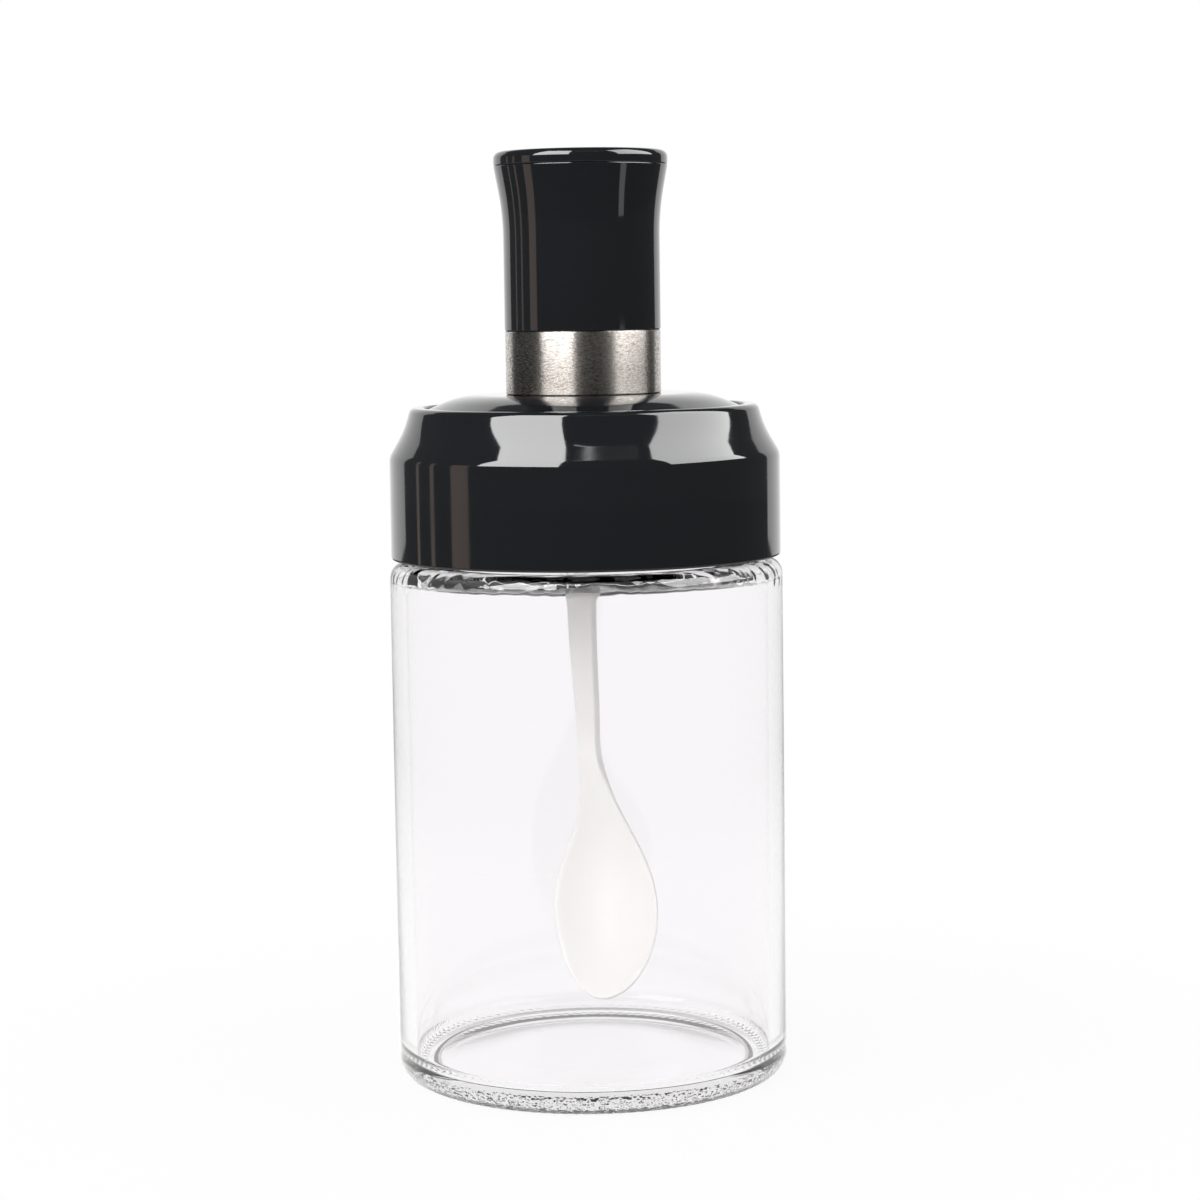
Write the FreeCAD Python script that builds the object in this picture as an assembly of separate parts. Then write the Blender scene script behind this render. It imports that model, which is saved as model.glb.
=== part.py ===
import FreeCAD, Part
import math
import os

# Spice jar: a round glass jar with a screw lid. A stopper made of a knob, a steel sleeve, a plug and
# a spoon lifts out of the middle of the lid. Lengths are millimetres and +Z is up. The jar stands on
# Z = 0 with its axis on Z, and its front is on the -Y side.

# Glass jar
jar_radius = 35.0
shoulder_height = 92.4  # table to the flat of the shoulder
glass_wall = 2.8
base_thickness = 2.65  # glass in the middle of the floor
push_up = 1.1  # hollow under the floor
heel_radius = 3.6
foot_width = 2.2  # flat ring that the jar stands on
floor_corner_radius = 2.6
shoulder_radius = 3.2
neck_height = 15.7
neck_wall = 3.0
neck_root_radius = 1.0
mouth_rounding = 0.9

# Screw thread of the jar and of the lid
thread_pitch = 4.5
thread_depth = 1.3
thread_clearance = 0.4
thread_bed = 0.3  # how far a rib reaches into its wall
thread_lift = 5.6  # shoulder to the middle of the lowest turn
thread_turns = 1.25
thread_root_share = 0.58  # rib widths against the pitch
thread_crest_share = 0.27
thread_fade_share = 0.14  # run-out at each end, in turns
thread_end_share = 0.12  # rib height left at the very end
sections_per_turn = 24

# Lid: outer shell, domed crown and threaded liner
lid_setback = 0.25  # the skirt stands inside the glass by this
lid_gap = 0.8  # glass shoulder to the skirt's lower edge
skirt_wall = 1.7
skirt_edge_radius = 0.4
lid_shoulder_height = 8.7
lid_shoulder_radius = 3.0
rim_inset = 3.85  # skirt to the raised rim, measured along the radius
rim_width = 2.4
rim_radius = 0.9
crown_groove = 0.7  # the crown's border lies below the rim by this
crown_rise = 2.8
crown_wall = 1.8
crown_ledge = 1.8
crown_ledge_thickness = 1.6
crown_spigot = 3.0
waist_height_share = 0.54  # the hollow of the lid's shoulder
waist_inset_share = 0.71
liner_wall = 1.6
liner_plate = 1.6
liner_recess = 0.4  # the liner ends above the skirt's edge
collar_wall = 1.5
keeper_wall = 1.2
keeper_depth = 3.0
keeper_gap = 0.5

# Gasket on the mouth
gasket_thickness = 1.5
gasket_side_gap = 0.25
gasket_rounding = 0.3

# Stopper: plug, seal, sleeve, knob, cap and screw
sleeve_radius = 13.8
sleeve_wall = 0.7
sleeve_height = 11.1
sleeve_edge_radius = 0.2
seat_ledge = 1.05  # how far the sleeve overlaps the bore of the lid
plug_length = 13.0
plug_clearance = 0.3
plug_wall = 1.8
plug_edge_radius = 0.8
groove_drop = 5.0
groove_height = 5.0
groove_depth = 1.5
seal_clearance = 0.08
seal_lip = 0.6
seal_lip_share = 0.26  # places and half heights of the two lips
knob_proud = 0.08
knob_height = 29.1
knob_wall = 2.2
knob_floor = 1.5
knob_spigot = 2.0
knob_flare = 1.55
knob_edge_radius = 0.3
flare_share = 0.42  # share of the knob's height that is straight
cap_height = 2.6
cap_rounding = 1.9
cap_spigot = 4.0
cap_wall = 1.6
screw_radius = 1.75
screw_head_radius = 3.6
screw_head_height = 2.3
screw_bite = 6.5
screw_hole_gap = 0.25
screw_slot_width = 1.0
screw_slot_depth = 1.3

# Spoon
spoon_floor_gap = 7.7  # jar floor to the tip of the spoon
spoon_pass_gap = 0.45  # room around the spoon in the bore of the lid
socket_depth = 8.0
stem_width = 6.4
stem_thickness = 2.4
stem_bow = 2.3  # the stem bows forward by this
neck_width = 3.8
bowl_length = 47.0
bowl_depth = 4.2
bowl_wall = 0.9
bowl_setback = 4.9
bowl_lean = 0.5
spoon_turn = -25.0  # degrees about the axis

# Bowl stations from the tip upwards: height, half width, depth and setback
bowl_shares = (
    (0.0, 0.08, 0.01, 0.64),
    (0.012, 0.25, 0.05, 0.67),
    (0.04, 0.45, 0.17, 0.72),
    (0.09, 0.66, 0.42, 0.80),
    (0.18, 0.87, 0.78, 0.91),
    (0.28, 0.98, 0.97, 0.98),
    (0.37, 1.0, 1.0, 1.0),
    (0.47, 0.92, 0.91, 1.03),
    (0.57, 0.75, 0.68, 1.04),
    (0.67, 0.53, 0.38, 0.93),
    (0.80, 0.32, 0.12, 0.50),
)
stem_steps = 8  # stations along the stem

# Clearances shared by all pieces
fit_gap = 0.05  # between pieces that are pressed together
seat_gap = 0.05  # under a piece that is lifted off
cut_overrun = 1.0
smallest_edge = 1e-6
widest = float("inf")  # a rounding as large as its two sides allow

# Radii, from the lid inwards
lid_radius = jar_radius - lid_setback
shell_bore = lid_radius - skirt_wall
liner_radius = shell_bore - fit_gap
liner_bore = liner_radius - liner_wall
liner_crest = liner_bore - thread_depth
neck_radius = liner_crest - thread_clearance
neck_crest = liner_bore - thread_clearance
mouth_radius = neck_radius - neck_wall
keeper_radius = mouth_radius - keeper_gap
rim_outer = lid_radius - rim_inset
crown_radius = rim_outer - rim_width

# Radii, from the sleeve inwards
bore_radius = sleeve_radius - seat_ledge
sleeve_bore = sleeve_radius - sleeve_wall
boss_radius = sleeve_bore - fit_gap
collar_radius = bore_radius + collar_wall
plug_radius = bore_radius - plug_clearance
groove_radius = plug_radius - groove_depth
post_radius = math.hypot(stem_width, stem_thickness) / 2 + plug_wall
knob_radius = sleeve_radius + knob_proud
knob_bore = knob_radius - knob_wall
knob_top_radius = knob_radius + knob_flare

# Heights, from the table up
floor_z = push_up + base_thickness
rim_z = shoulder_height + neck_height
gasket_z = rim_z + seat_gap
plate_z = gasket_z + gasket_thickness + seat_gap
liner_top_z = plate_z + liner_plate
lid_foot_z = shoulder_height + lid_gap
lid_rim_z = liner_top_z + lid_shoulder_height
crown_border_z = lid_rim_z - crown_groove
crown_seat_z = crown_border_z - crown_wall
crown_top_z = crown_border_z + crown_rise
collar_top_z = crown_top_z - crown_wall
seat_z = crown_top_z + seat_gap
plug_foot_z = seat_z - plug_length
knob_foot_z = seat_z + sleeve_height
boss_top_z = knob_foot_z - knob_spigot
knob_floor_z = knob_foot_z + knob_floor
knob_top_z = knob_foot_z + knob_height
spoon_tip_z = floor_z + spoon_floor_gap

up = FreeCAD.Vector(0, 0, 1)
origin = FreeCAD.Vector(0, 0, 0)


# Closed outline in the XZ plane. Each corner is (radius, height) or (radius, height, rounding), and a
# rounding is never larger than its two sides have room for.
def outline(corners):
    points = [FreeCAD.Vector(corner[0], 0, corner[1]) for corner in corners]
    roundings = [corner[2] if len(corner) > 2 else 0 for corner in corners]
    count = len(points)
    spans = []
    for index, point in enumerate(points):
        before = (index - 1) % count
        after = (index + 1) % count
        if not roundings[index]:
            spans.append((point, None, point))
            continue
        back = points[before] - point
        ahead = points[after] - point
        back_room = back.Length / (2 if roundings[before] else 1)
        ahead_room = ahead.Length / (2 if roundings[after] else 1)
        half_angle = back.getAngle(ahead) / 2
        back.normalize()
        ahead.normalize()
        reach = min(back_room, ahead_room, roundings[index] / math.tan(half_angle))
        radius = reach * math.tan(half_angle)
        inward = (back + ahead).normalize()
        middle = point + inward * (radius / math.sin(half_angle) - radius)
        spans.append((point + back * reach, middle, point + ahead * reach))
    edges = []
    for index, (start, middle, end) in enumerate(spans):
        if middle is not None:
            edges.append(Part.Arc(start, middle, end).toShape())
        following = spans[(index + 1) % count][0]
        if end.distanceToPoint(following) > smallest_edge:
            edges.append(Part.LineSegment(end, following).toShape())
    return Part.Wire(edges)


def turned(corners):
    return Part.Face(outline(corners)).revolve(origin, up, 360)


# Screw rib on a round wall, rising with the turn and running out at both ends.
def screw_rib(wall_radius, crest_radius, first_middle_z):
    outward = math.copysign(1, crest_radius - wall_radius)
    root_radius = wall_radius - outward * thread_bed
    root_half = thread_pitch * thread_root_share / 2
    crest_half = thread_pitch * thread_crest_share / 2
    sections = []
    for step in range(round(thread_turns * sections_per_turn) + 1):
        turn = step / sections_per_turn
        run_in = min(turn, thread_turns - turn) / thread_fade_share
        height_share = min(1, thread_end_share + (1 - thread_end_share) * run_in)
        crest = wall_radius + (crest_radius - wall_radius) * height_share
        middle_z = first_middle_z + thread_pitch * turn
        corners = (
            (root_radius, middle_z - root_half),
            (crest, middle_z - crest_half),
            (crest, middle_z + crest_half),
            (root_radius, middle_z + root_half),
        )
        section = outline(corners)
        section.rotate(origin, up, 360 * turn)
        sections.append(section)
    return Part.makeLoft(sections, True, False)


def make_glass_jar():
    foot_outer = jar_radius - heel_radius
    foot_inner = foot_outer - foot_width
    inner_radius = jar_radius - glass_wall
    ceiling_z = shoulder_height - glass_wall
    body = turned((
        (0, push_up),
        (foot_inner - push_up, push_up, push_up),
        (foot_inner, 0),
        (jar_radius, 0, heel_radius),
        (jar_radius, shoulder_height, shoulder_radius),
        (neck_radius, shoulder_height, neck_root_radius),
        (neck_radius, rim_z, mouth_rounding),
        (mouth_radius, rim_z, mouth_rounding),
        (mouth_radius, ceiling_z, neck_root_radius),
        (inner_radius, ceiling_z, shoulder_radius),
        (inner_radius, floor_z, floor_corner_radius),
        (0, floor_z),
    ))
    return body.fuse(screw_rib(neck_radius, neck_crest, shoulder_height + thread_lift))


def make_mouth_gasket():
    inner = keeper_radius + gasket_side_gap
    outer = liner_bore - gasket_side_gap
    top_z = gasket_z + gasket_thickness
    return turned((
        (inner, gasket_z, gasket_rounding),
        (outer, gasket_z, gasket_rounding),
        (outer, top_z, gasket_rounding),
        (inner, top_z, gasket_rounding),
    ))


def make_thread_liner():
    foot_z = lid_foot_z + liner_recess
    keeper_inner = keeper_radius - keeper_wall
    keeper_z = plate_z - keeper_depth
    body = turned((
        (bore_radius, plate_z),
        (bore_radius, collar_top_z),
        (collar_radius, collar_top_z),
        (collar_radius, liner_top_z, neck_root_radius),
        (liner_radius, liner_top_z),
        (liner_radius, foot_z),
        (liner_bore, foot_z),
        (liner_bore, plate_z),
        (keeper_radius, plate_z),
        (keeper_radius, keeper_z),
        (keeper_inner, keeper_z),
        (keeper_inner, plate_z),
    ))
    first_middle_z = shoulder_height + thread_lift - thread_pitch / 2
    return body.fuse(screw_rib(liner_bore, liner_crest, first_middle_z))


def make_lid_shell():
    waist_radius = lid_radius - rim_inset * waist_inset_share
    waist_z = liner_top_z + lid_shoulder_height * waist_height_share
    ledge_inner = crown_radius - crown_ledge
    ledge_z = crown_seat_z - crown_ledge_thickness
    return turned((
        (shell_bore, lid_foot_z, skirt_edge_radius),
        (lid_radius, lid_foot_z, skirt_edge_radius),
        (lid_radius, liner_top_z, lid_shoulder_radius),
        (waist_radius, waist_z, widest),
        (rim_outer, lid_rim_z, rim_radius),
        (crown_radius, lid_rim_z, skirt_edge_radius),
        (crown_radius, crown_seat_z),
        (ledge_inner, crown_seat_z),
        (ledge_inner, ledge_z),
        (rim_outer - skirt_wall, ledge_z),
        (liner_bore, liner_top_z),
        (shell_bore, liner_top_z),
    ))


def make_lid_crown():
    border = crown_radius - fit_gap
    flat_radius = sleeve_radius + seat_ledge
    slope_run = border - flat_radius
    knee_radius = flat_radius + (slope_run ** 2 + crown_rise ** 2) / (2 * slope_run)
    spigot_inner = collar_radius + fit_gap
    spigot_outer = spigot_inner + crown_wall
    spigot_z = collar_top_z - crown_spigot
    return turned((
        (bore_radius, collar_top_z),
        (bore_radius, crown_top_z),
        (flat_radius, crown_top_z),
        (knee_radius, crown_top_z, widest),
        (border, crown_border_z),
        (border, crown_seat_z),
        (crown_radius - crown_ledge, crown_seat_z),
        (knee_radius, collar_top_z, widest),
        (spigot_outer, collar_top_z),
        (spigot_outer, spigot_z),
        (spigot_inner, spigot_z),
        (spigot_inner, collar_top_z),
    ))


def make_stopper_seal():
    inner = groove_radius + seal_clearance
    lip = bore_radius - seal_clearance
    waist = lip - seal_lip
    top_z = seat_z - groove_drop - seal_clearance
    height = groove_height - 2 * seal_clearance
    half_lip = height * seal_lip_share / 2
    corners = [(inner, top_z), (inner, top_z - height), (waist, top_z - height)]
    for share in (seal_lip_share, 1 - seal_lip_share):
        lip_z = top_z - height + height * share
        corners.append((waist, lip_z - half_lip))
        corners.append((lip, lip_z, half_lip))
        corners.append((waist, lip_z + half_lip))
    corners.append((waist, top_z))
    return turned(corners)


def make_stopper_plug():
    groove_top_z = seat_z - groove_drop
    groove_foot_z = groove_top_z - groove_height
    pocket_z = plug_foot_z + socket_depth
    body = turned((
        (0, plug_foot_z),
        (post_radius, plug_foot_z),
        (post_radius, pocket_z),
        (groove_radius - plug_wall, pocket_z),
        (groove_radius - plug_wall, plug_foot_z),
        (plug_radius, plug_foot_z, plug_edge_radius),
        (plug_radius, groove_foot_z),
        (groove_radius, groove_foot_z),
        (groove_radius, groove_top_z),
        (plug_radius, groove_top_z),
        (plug_radius, seat_z),
        (boss_radius, seat_z),
        (boss_radius, boss_top_z),
        (boss_radius - plug_wall, boss_top_z),
        (boss_radius - plug_wall, seat_z),
        (post_radius, seat_z),
        (post_radius, boss_top_z),
        (0, boss_top_z),
    ))
    socket_width = stem_width + 2 * fit_gap
    socket_thickness = stem_thickness + 2 * fit_gap
    corner = FreeCAD.Vector(-socket_width / 2, -socket_thickness / 2, plug_foot_z - cut_overrun)
    socket = Part.makeBox(socket_width, socket_thickness, socket_depth + fit_gap + cut_overrun, corner)
    socket.rotate(origin, up, spoon_turn)
    pilot_depth = screw_bite + screw_radius
    pilot_foot = FreeCAD.Vector(0, 0, boss_top_z - pilot_depth)
    pilot = Part.makeCylinder(screw_radius + fit_gap, pilot_depth + cut_overrun, pilot_foot)
    return body.cut([socket, pilot])


def make_steel_sleeve():
    return turned((
        (sleeve_bore, seat_z, sleeve_edge_radius),
        (sleeve_radius, seat_z, sleeve_edge_radius),
        (sleeve_radius, knob_foot_z, sleeve_edge_radius),
        (sleeve_bore, knob_foot_z, sleeve_edge_radius),
    ))


def make_knob_grip():
    hole = screw_radius + screw_hole_gap
    return turned((
        (hole, boss_top_z),
        (boss_radius, boss_top_z),
        (boss_radius, knob_foot_z),
        (knob_radius, knob_foot_z, knob_edge_radius),
        (knob_radius, knob_foot_z + knob_height * flare_share),
        (knob_radius, knob_foot_z + knob_height * (1 + flare_share) / 2, widest),
        (knob_top_radius, knob_top_z),
        (knob_bore, knob_top_z),
        (knob_bore, knob_floor_z),
        (hole, knob_floor_z),
    ))


def make_knob_cap():
    spigot_radius = knob_bore - fit_gap
    spigot_inner = spigot_radius - cap_wall
    spigot_z = knob_top_z - cap_spigot
    ceiling_z = knob_top_z + cap_height - cap_wall
    top_z = knob_top_z + cap_height
    return turned((
        (0, ceiling_z),
        (spigot_inner, ceiling_z),
        (spigot_inner, spigot_z),
        (spigot_radius, spigot_z),
        (spigot_radius, knob_top_z),
        (knob_top_radius, knob_top_z),
        (knob_top_radius, top_z, cap_rounding),
        (0, top_z),
    ))


def make_clamp_screw():
    head_top_z = knob_floor_z + screw_head_height
    tip_z = boss_top_z - screw_bite
    body = turned((
        (0, tip_z),
        (screw_radius, tip_z + screw_radius),
        (screw_radius, knob_floor_z),
        (screw_head_radius, knob_floor_z),
        (screw_head_radius, head_top_z, screw_head_height / 2),
        (0, head_top_z),
    ))
    slot_length = 2 * screw_head_radius - screw_head_height
    slot_z = head_top_z - screw_slot_depth
    corner = FreeCAD.Vector(-slot_length / 2, -screw_slot_width / 2, slot_z)
    slot = Part.makeBox(slot_length, screw_slot_width, screw_slot_depth + cut_overrun, corner)
    crossing = slot.copy()
    crossing.rotate(origin, up, 90)
    return body.cut([slot, crossing])


# Level section through the spoon. The front and back faces are shallow curves that dip by their depth,
# and the hollow side faces -Y.
def spoon_section(height, half_width, front, back, front_depth, back_depth, lean):
    left_front = FreeCAD.Vector(lean - half_width, -front, height)
    right_front = FreeCAD.Vector(lean + half_width, -front, height)
    left_back = FreeCAD.Vector(lean - half_width, -back, height)
    right_back = FreeCAD.Vector(lean + half_width, -back, height)
    front_curve = Part.BezierCurve()
    front_curve.setPoles([left_front, FreeCAD.Vector(lean, 2 * front_depth - front, height), right_front])
    back_curve = Part.BezierCurve()
    back_curve.setPoles([right_back, FreeCAD.Vector(lean, 2 * back_depth - back, height), left_back])
    edges = [
        front_curve.toShape(),
        Part.LineSegment(right_front, right_back).toShape(),
        back_curve.toShape(),
        Part.LineSegment(left_back, left_front).toShape(),
    ]
    return Part.Wire(edges)


def make_spoon():
    reach = bore_radius - spoon_pass_gap
    half_bowl = math.sqrt(reach ** 2 - (bowl_setback + bowl_wall) ** 2) - bowl_lean
    neck_z = spoon_tip_z + bowl_length
    sections = []
    for height_share, width_share, depth_share, setback_share in bowl_shares:
        front = -bowl_setback * setback_share
        depth = bowl_depth * depth_share
        half_width = half_bowl * width_share
        height = spoon_tip_z + bowl_length * height_share
        lean = bowl_lean * width_share
        sections.append(spoon_section(height, half_width, front, front - bowl_wall, depth, depth, lean))
    for step in range(stem_steps + 1):
        share = step / stem_steps
        half_width = (neck_width + (stem_width - neck_width) * share) / 2
        height = neck_z + (plug_foot_z - neck_z) * share
        middle = stem_bow * math.sin(math.pi * share) ** 2
        front = middle + stem_thickness / 2
        back = middle - stem_thickness / 2
        sections.append(spoon_section(height, half_width, front, back, 0, 0, 0))
    stem = Part.makeBox(
        stem_width,
        stem_thickness,
        socket_depth,
        FreeCAD.Vector(-stem_width / 2, -stem_thickness / 2, plug_foot_z),
    )
    spoon = Part.makeLoft(sections, True, False).fuse(stem)
    spoon.rotate(origin, up, spoon_turn)
    return spoon


pieces = {
    "glass_jar": make_glass_jar,
    "mouth_gasket": make_mouth_gasket,
    "thread_liner": make_thread_liner,
    "lid_shell": make_lid_shell,
    "lid_crown": make_lid_crown,
    "stopper_seal": make_stopper_seal,
    "stopper_plug": make_stopper_plug,
    "steel_sleeve": make_steel_sleeve,
    "knob_grip": make_knob_grip,
    "knob_cap": make_knob_cap,
    "clamp_screw": make_clamp_screw,
    "spoon": make_spoon,
}

os.makedirs("parts", exist_ok=True)
for name, make in pieces.items():
    make().exportStep("parts/" + name + ".step")
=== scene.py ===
import bpy
import math
from mathutils import Matrix, Vector


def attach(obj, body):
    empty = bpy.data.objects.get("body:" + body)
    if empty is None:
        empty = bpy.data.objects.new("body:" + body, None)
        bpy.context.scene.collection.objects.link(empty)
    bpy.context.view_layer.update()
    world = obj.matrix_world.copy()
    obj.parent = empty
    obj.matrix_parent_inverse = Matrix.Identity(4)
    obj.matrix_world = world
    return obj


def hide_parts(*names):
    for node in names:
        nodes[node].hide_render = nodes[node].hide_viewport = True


# Spice jar: clear glass with a black screw lid, a steel sleeve, a flared knob and a white spoon.
# Settings are in millimetres and degrees, Blender works in metres.

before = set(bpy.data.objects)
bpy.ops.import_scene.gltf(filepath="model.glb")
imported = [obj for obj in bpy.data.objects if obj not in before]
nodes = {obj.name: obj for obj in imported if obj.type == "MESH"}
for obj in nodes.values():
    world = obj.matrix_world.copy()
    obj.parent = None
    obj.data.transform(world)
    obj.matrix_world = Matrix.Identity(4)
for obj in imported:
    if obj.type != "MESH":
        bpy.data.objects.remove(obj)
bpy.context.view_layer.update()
mm = 0.001
asFarAsItGoes = 1000.0  # a rounding that is only limited by its two sides
shortestStep = 0.0001  # shorter steps of an outline are left out


def clearSelection():
    if bpy.context.mode != "OBJECT":
        bpy.ops.object.mode_set(mode="OBJECT")
    bpy.ops.object.select_all(action="DESELECT")


# Corners are (radius, height) or (radius, height, rounding). Gives the outline's points, with an
# arc at each rounded corner that turns by arcStep from point to point.
def roundedOutline(corners, arcStep=9.0):
    spots = [Vector(corner[:2]) for corner in corners]
    roundings = [corner[2] if len(corner) > 2 else 0 for corner in corners]
    count = len(spots)
    points = []
    for index, spot in enumerate(spots):
        before, after = (index - 1) % count, (index + 1) % count
        if not roundings[index]:
            points.append(spot)
            continue
        back, ahead = spots[before] - spot, spots[after] - spot
        backRoom = back.length / (2 if roundings[before] else 1)
        aheadRoom = ahead.length / (2 if roundings[after] else 1)
        half = back.angle(ahead) / 2
        reach = min(backRoom, aheadRoom, roundings[index] / math.tan(half))
        radius = reach * math.tan(half)
        back.normalize()
        ahead.normalize()
        centre = spot + (back + ahead).normalized() * (radius / math.sin(half))
        arm = spot + back * reach - centre
        sweep = math.pi - 2 * half
        if back.cross(ahead) > 0:
            sweep = -sweep
        pieces = max(2, math.ceil(abs(math.degrees(sweep)) / arcStep))
        for step in range(pieces + 1):
            points.append(centre + Matrix.Rotation(sweep * step / pieces, 2) @ arm)
    return points


# The outline is drawn in the XZ plane by extruding one point along it, and then spun round Z.
def turnPiece(name, points, around, closed=True, sharp=35.0, weld=0.002):
    clearSelection()
    bpy.ops.mesh.primitive_plane_add(size=mm)
    piece = bpy.context.object
    piece.name = piece.data.name = name
    bpy.ops.object.mode_set(mode="EDIT")
    bpy.ops.mesh.select_all(action="SELECT")
    bpy.ops.mesh.merge(type="CENTER")
    bpy.ops.transform.translate(value=(points[0].x * mm, 0, points[0].y * mm))
    route = points + [points[0]] if closed else points
    for here, there in zip(route, route[1:]):
        step = (there - here) * mm
        if step.length > shortestStep * mm:
            bpy.ops.mesh.extrude_vertices_move(
                TRANSFORM_OT_translate={"value": (step.x, 0, step.y)})
    bpy.ops.mesh.select_all(action="SELECT")
    bpy.ops.mesh.spin(steps=around, angle=2 * math.pi, center=(0, 0, 0), axis=(0, 0, 1))
    bpy.ops.mesh.select_all(action="SELECT")
    bpy.ops.mesh.remove_doubles(threshold=weld * mm)
    bpy.ops.mesh.normals_make_consistent(inside=False)
    bpy.ops.object.mode_set(mode="OBJECT")
    bpy.ops.object.shade_smooth_by_angle(angle=math.radians(sharp))
    return piece


def fitPiece(piece, body, node, material):
    piece.data.materials.clear()
    piece.data.materials.append(material)
    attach(piece, body)
    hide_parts(node)
    print(piece.name, "has", len(piece.data.polygons), "faces")


def linearColour(hexCode):
    channels = []
    for start in (1, 3, 5):
        value = int(hexCode[start:start + 2], 16) / 255
        channels.append(value / 12.92 if value <= 0.04045 else ((value + 0.055) / 1.055) ** 2.4)
    return (*channels, 1.0)


# Adds a node, sets its options, and sets or links its inputs.
def addNode(tree, kind, options=None, inputs=None):
    node = tree.nodes.new(kind)
    for key, value in (options or {}).items():
        setattr(node, key, value)
    for key, value in (inputs or {}).items():
        if isinstance(value, bpy.types.NodeSocket):
            tree.links.new(value, node.inputs[key])
        else:
            node.inputs[key].default_value = value
    return node


def startMaterial(name):
    material = bpy.data.materials.new(name)
    material.use_nodes = True
    material.node_tree.nodes.clear()
    return material, material.node_tree


# Soda-lime glass, pressed: clear with a faint grey cast. The wall has long shallow waves from the
# mould, the shoulder has deeper ones that swirl what is seen through it and fade out up the neck,
# and the heel is stippled.
glassLook = {
    "ior": 1.52, "roughness": 0.0, "clear": "#fdfcfd", "tint": "#e9e8e8", "density": 16.0,
    "waveSize": 22.0, "waveDepth": 0.05, "waveStrength": 0.25, "waveRoughness": 0.4,
    "swirlSize": 6.0, "swirlDepth": 0.5, "swirlTwist": 0.8, "swirlFrom": 87.5, "swirlTo": 91.0,
    "neckFrom": 93.0, "neckTo": 95.5, "stippleSize": 0.6, "stippleDepth": 0.08,
    "stippleFrom": 4.2, "stippleTo": 3.0, "stippleInner": 31.2, "stippleOuter": 32.0,
}


def makeGlass(look):
    material, tree = startMaterial("soda-lime glass")
    place = addNode(tree, "ShaderNodeTexCoord")
    height = addNode(tree, "ShaderNodeSeparateXYZ", None, {"Vector": place.outputs["Object"]})
    waves = addNode(tree, "ShaderNodeTexNoise", None, {
        "Vector": place.outputs["Object"], "Scale": 1 / (look["waveSize"] * mm),
        "Detail": 1.0, "Roughness": look["waveRoughness"]})
    waveBump = addNode(tree, "ShaderNodeBump", None, {
        "Height": waves.outputs["Fac"], "Strength": look["waveStrength"],
        "Distance": look["waveDepth"] * mm})
    atShoulder = addNode(tree, "ShaderNodeMapRange", None, {
        "Value": height.outputs["Z"],
        "From Min": look["swirlFrom"] * mm, "From Max": look["swirlTo"] * mm})
    belowNeck = addNode(tree, "ShaderNodeMapRange", None, {
        "Value": height.outputs["Z"],
        "From Min": look["neckTo"] * mm, "From Max": look["neckFrom"] * mm})
    swirlShare = addNode(tree, "ShaderNodeMath", {"operation": "MULTIPLY"}, {
        0: atShoulder.outputs["Result"], 1: belowNeck.outputs["Result"]})
    swirl = addNode(tree, "ShaderNodeTexNoise", None, {
        "Vector": place.outputs["Object"], "Scale": 1 / (look["swirlSize"] * mm),
        "Detail": 1.0, "Distortion": look["swirlTwist"]})
    swirlBump = addNode(tree, "ShaderNodeBump", None, {
        "Height": swirl.outputs["Fac"], "Strength": swirlShare.outputs["Value"],
        "Distance": look["swirlDepth"] * mm, "Normal": waveBump.outputs["Normal"]})
    atHeel = addNode(tree, "ShaderNodeMapRange", None, {
        "Value": height.outputs["Z"],
        "From Min": look["stippleFrom"] * mm, "From Max": look["stippleTo"] * mm})
    axis = addNode(tree, "ShaderNodeVectorMath", {"operation": "MULTIPLY"}, {
        0: place.outputs["Object"], 1: (1, 1, 0)})
    reach = addNode(tree, "ShaderNodeVectorMath", {"operation": "LENGTH"}, {
        0: axis.outputs["Vector"]})
    outside = addNode(tree, "ShaderNodeMapRange", None, {
        "Value": reach.outputs["Value"],
        "From Min": look["stippleInner"] * mm, "From Max": look["stippleOuter"] * mm})
    heelShare = addNode(tree, "ShaderNodeMath", {"operation": "MULTIPLY"}, {
        0: atHeel.outputs["Result"], 1: outside.outputs["Result"]})
    stipple = addNode(tree, "ShaderNodeTexVoronoi", None, {
        "Vector": place.outputs["Object"], "Scale": 1 / (look["stippleSize"] * mm)})
    stippleBump = addNode(tree, "ShaderNodeBump", None, {
        "Height": stipple.outputs["Distance"], "Strength": heelShare.outputs["Value"],
        "Distance": look["stippleDepth"] * mm, "Normal": swirlBump.outputs["Normal"]})
    shader = addNode(tree, "ShaderNodeBsdfPrincipled", None, {
        "Base Color": linearColour(look["clear"]), "Roughness": look["roughness"],
        "IOR": look["ior"], "Transmission Weight": 1.0, "Normal": stippleBump.outputs["Normal"]})
    body = addNode(tree, "ShaderNodeVolumeAbsorption", None, {
        "Color": linearColour(look["tint"]), "Density": look["density"]})
    addNode(tree, "ShaderNodeOutputMaterial", None, {
        "Surface": shader.outputs["BSDF"], "Volume": body.outputs["Volume"]})
    return material


# Black ABS from a polished mould: deep black with sharp reflections, a trace of orange peel, and
# dull smears where hands hold it.
blackLook = {
    "colour": "#1a1c1f", "ior": 1.53, "gloss": 0.05, "smeared": 0.11,
    "smearSize": 14.0, "smearGrit": 0.62, "smearLow": 0.42, "smearHigh": 0.72,
    "peelSize": 2.5, "peelDepth": 0.006, "peelStrength": 0.3,
}


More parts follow.
